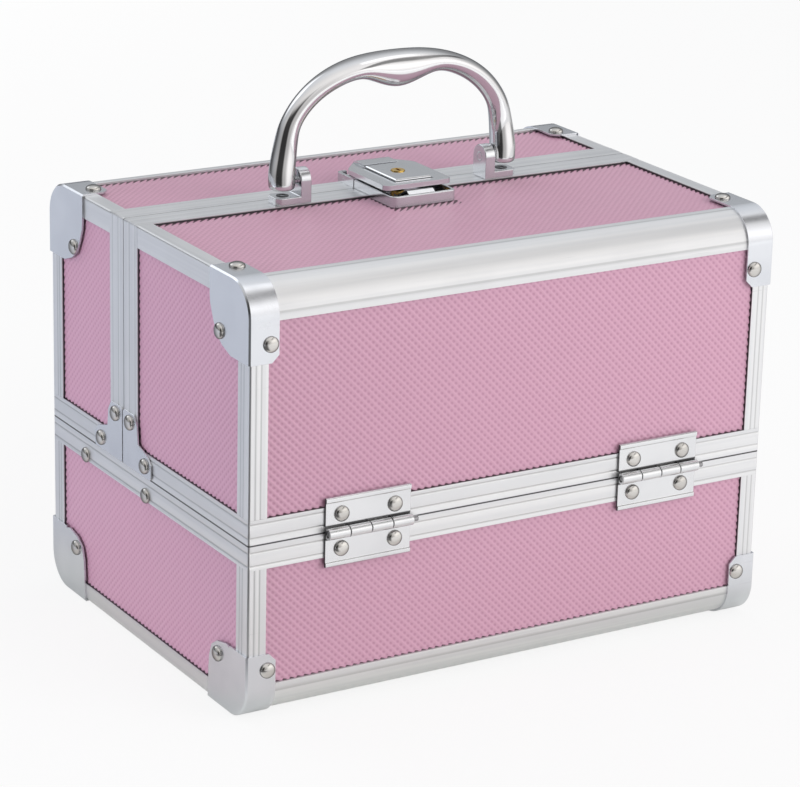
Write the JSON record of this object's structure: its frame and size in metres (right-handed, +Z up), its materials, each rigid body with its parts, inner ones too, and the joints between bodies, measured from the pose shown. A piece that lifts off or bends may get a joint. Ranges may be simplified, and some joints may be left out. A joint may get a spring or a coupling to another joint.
{
  "type": "make-up train case",
  "caption": "Hard make-up case with aluminium edges and quilted panels: two lids open apart, one lifting cantilever trays, with a swing handle, key latch and lid mirror.",
  "frame": {"origin": "middle of the footprint, on the surface that the case stands on", "axes": "+X along the length of the case, -Y out of the long side of the larger lid that carries the handle, +Z up"},
  "size_m": [0.2416, 0.1822, 0.2345],
  "materials": {
    "panel": "board faced with embossed plastic film",
    "profile": "satin anodised",
    "pressed_steel": "bright nickel plated",
    "latch_metal": "satin nickel plated",
    "chrome": "polished chrome",
    "brass": "polished",
    "lining": "short black pile",
    "tray_plastic": "fine grain",
    "mirror_glass": "polished"
  },
  "bodies": {
    "base": {"base_front_board": "panel", "base_rear_board": "panel", "base_end_boards": "panel", "base_bottom_board": "panel", "base_rim_profiles": "profile", "base_corner_posts": "profile", "base_edge_profiles": "profile", "base_end_strips": "profile", "base_corner_protectors": "pressed_steel", "base_lining": "lining", "arm_pivot_studs": "latch_metal", "base_hinge_leaves": "pressed_steel"},
    "mirror_lid": {"mirror_lid_long_board": "panel", "mirror_lid_top_board": "panel", "mirror_lid_end_boards": "panel", "mirror_lid_rim_profiles": "profile", "mirror_lid_seam_profiles": "profile", "mirror_lid_corner_posts": "profile", "mirror_lid_edge_profile": "profile", "mirror_lid_end_strips": "profile", "mirror_lid_corner_protectors": "pressed_steel", "mirror_lid_seam_plates": "pressed_steel", "mirror_lid_lining": "lining", "mirror_lid_hinge_leaves": "pressed_steel", "handle_brackets": "pressed_steel", "handle_pins": "pressed_steel", "latch_frame": "latch_metal", "latch_spring": "latch_metal", "mirror": "mirror_glass", "mirror_backing": "lining", "mirror_clips": "latch_metal"},
    "tray_lid": {"tray_lid_long_board": "panel", "tray_lid_top_board": "panel", "tray_lid_end_boards": "panel", "tray_lid_rim_profiles": "profile", "tray_lid_seam_profiles": "profile", "tray_lid_corner_posts": "profile", "tray_lid_edge_profile": "profile", "tray_lid_end_strips": "profile", "tray_lid_corner_protectors": "pressed_steel", "tray_lid_seam_plates": "pressed_steel", "tray_lid_lining": "lining", "tray_lid_hinge_leaves": "pressed_steel", "latch_pan": "latch_metal", "latch_pin": "latch_metal", "link_brackets": "latch_metal"},
    "carry_handle": {"handle": "chrome"},
    "flap": {"latch_flap": "latch_metal", "key_plate": "latch_metal"},
    "key": {"key_barrel": "brass"},
    "front_arms": {"front_tray_arms": "latch_metal"},
    "rear_arms": {"rear_tray_arms": "latch_metal"},
    "lower_tray_body": {"lower_tray": "tray_plastic"},
    "upper_tray_body": {"upper_tray": "tray_plastic"},
    "links": {"lid_links": "latch_metal"}
  },
  "joints": [
    {"name": "tray_lid_hinge", "type": "hinge", "parent": "base", "child": "tray_lid", "pos_m": [0, 0.0889, 0.0736], "axis": [-1, 0, 0], "range_deg": [0, 95]},
    {"name": "mirror_lid_hinge", "type": "hinge", "parent": "base", "child": "mirror_lid", "pos_m": [0, -0.0889, 0.0736], "axis": [1, 0, 0], "range_deg": [0, 95]},
    {"name": "front_arm_pivot", "type": "hinge", "parent": "base", "child": "front_arms", "pos_m": [0, 0, 0.0658], "axis": [-1, 0, 0], "range_deg": [0, 95]},
    {"name": "rear_arm_pivot", "type": "hinge", "parent": "base", "child": "rear_arms", "pos_m": [0, 0.0549, 0.0658], "axis": [-1, 0, 0], "range_deg": [0, 95]},
    {"name": "lower_tray_pivot", "type": "hinge", "parent": "rear_arms", "child": "lower_tray_body", "pos_m": [0, 0.02194, 0.096], "axis": [-1, 0, 0], "range_deg": [-95, 0]},
    {"name": "upper_tray_pivot", "type": "hinge", "parent": "rear_arms", "child": "upper_tray_body", "pos_m": [0, -0.00425, 0.12], "axis": [-1, 0, 0], "range_deg": [-95, 0]},
    {"name": "link_pivot", "type": "hinge", "parent": "tray_lid", "child": "links", "pos_m": [0, 0.04285, 0.1158], "axis": [-1, 0, 0], "range_deg": [-95, 0]},
    {"name": "handle_pivot", "type": "hinge", "parent": "mirror_lid", "child": "carry_handle", "pos_m": [0, 0.0125, 0.1852], "axis": [1, 0, 0], "range_deg": [-90, 90]},
    {"name": "flap_hinge", "type": "hinge", "parent": "tray_lid", "child": "flap", "pos_m": [0, 0.028, 0.1789], "axis": [-1, 0, 0], "range_deg": [0, 55]},
    {"name": "key_turn", "type": "hinge", "parent": "flap", "child": "key", "pos_m": [0, 0.0094, 0.18], "axis": [0, 0, 1], "range_deg": [0, 90]}
  ],
  "couplings": [
    {"joint": "front_arm_pivot", "follows": "tray_lid_hinge", "ratio": 1},
    {"joint": "rear_arm_pivot", "follows": "tray_lid_hinge", "ratio": 1},
    {"joint": "lower_tray_pivot", "follows": "tray_lid_hinge", "ratio": -1},
    {"joint": "upper_tray_pivot", "follows": "tray_lid_hinge", "ratio": -1},
    {"joint": "link_pivot", "follows": "tray_lid_hinge", "ratio": -1}
  ]
}
